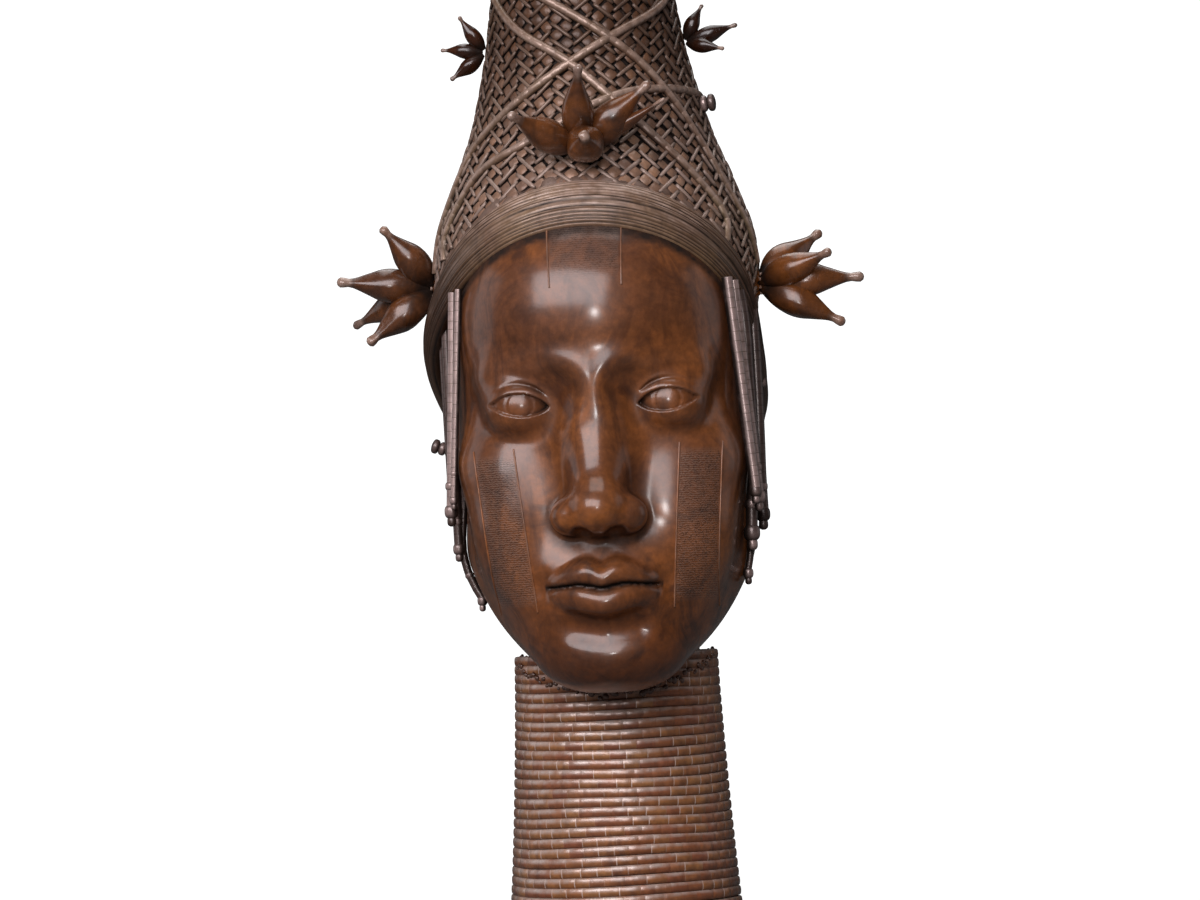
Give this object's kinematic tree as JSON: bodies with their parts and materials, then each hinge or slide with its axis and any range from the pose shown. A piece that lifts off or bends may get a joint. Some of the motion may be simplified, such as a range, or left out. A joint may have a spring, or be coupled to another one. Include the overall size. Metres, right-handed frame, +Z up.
{
  "type": "bronze royal head",
  "caption": "Cast bronze head with a netted bead cap, bead sprays, hanging bead strings and a tall ringed collar that it stands on.",
  "frame": {"origin": "middle of the flat underside of the collar", "axes": "+Z up from the underside to the tip of the cap, the face looks toward -Y, +X is on the right of a person who looks at the face"},
  "size_m": [0.2275, 0.2066, 0.497],
  "materials": {
    "bronze": "polished dark brown patina, darker in the recesses and paler on worn high points"
  },
  "bodies": {
    "root": {"bronze_head": "bronze"}
  },
  "joints": []
}
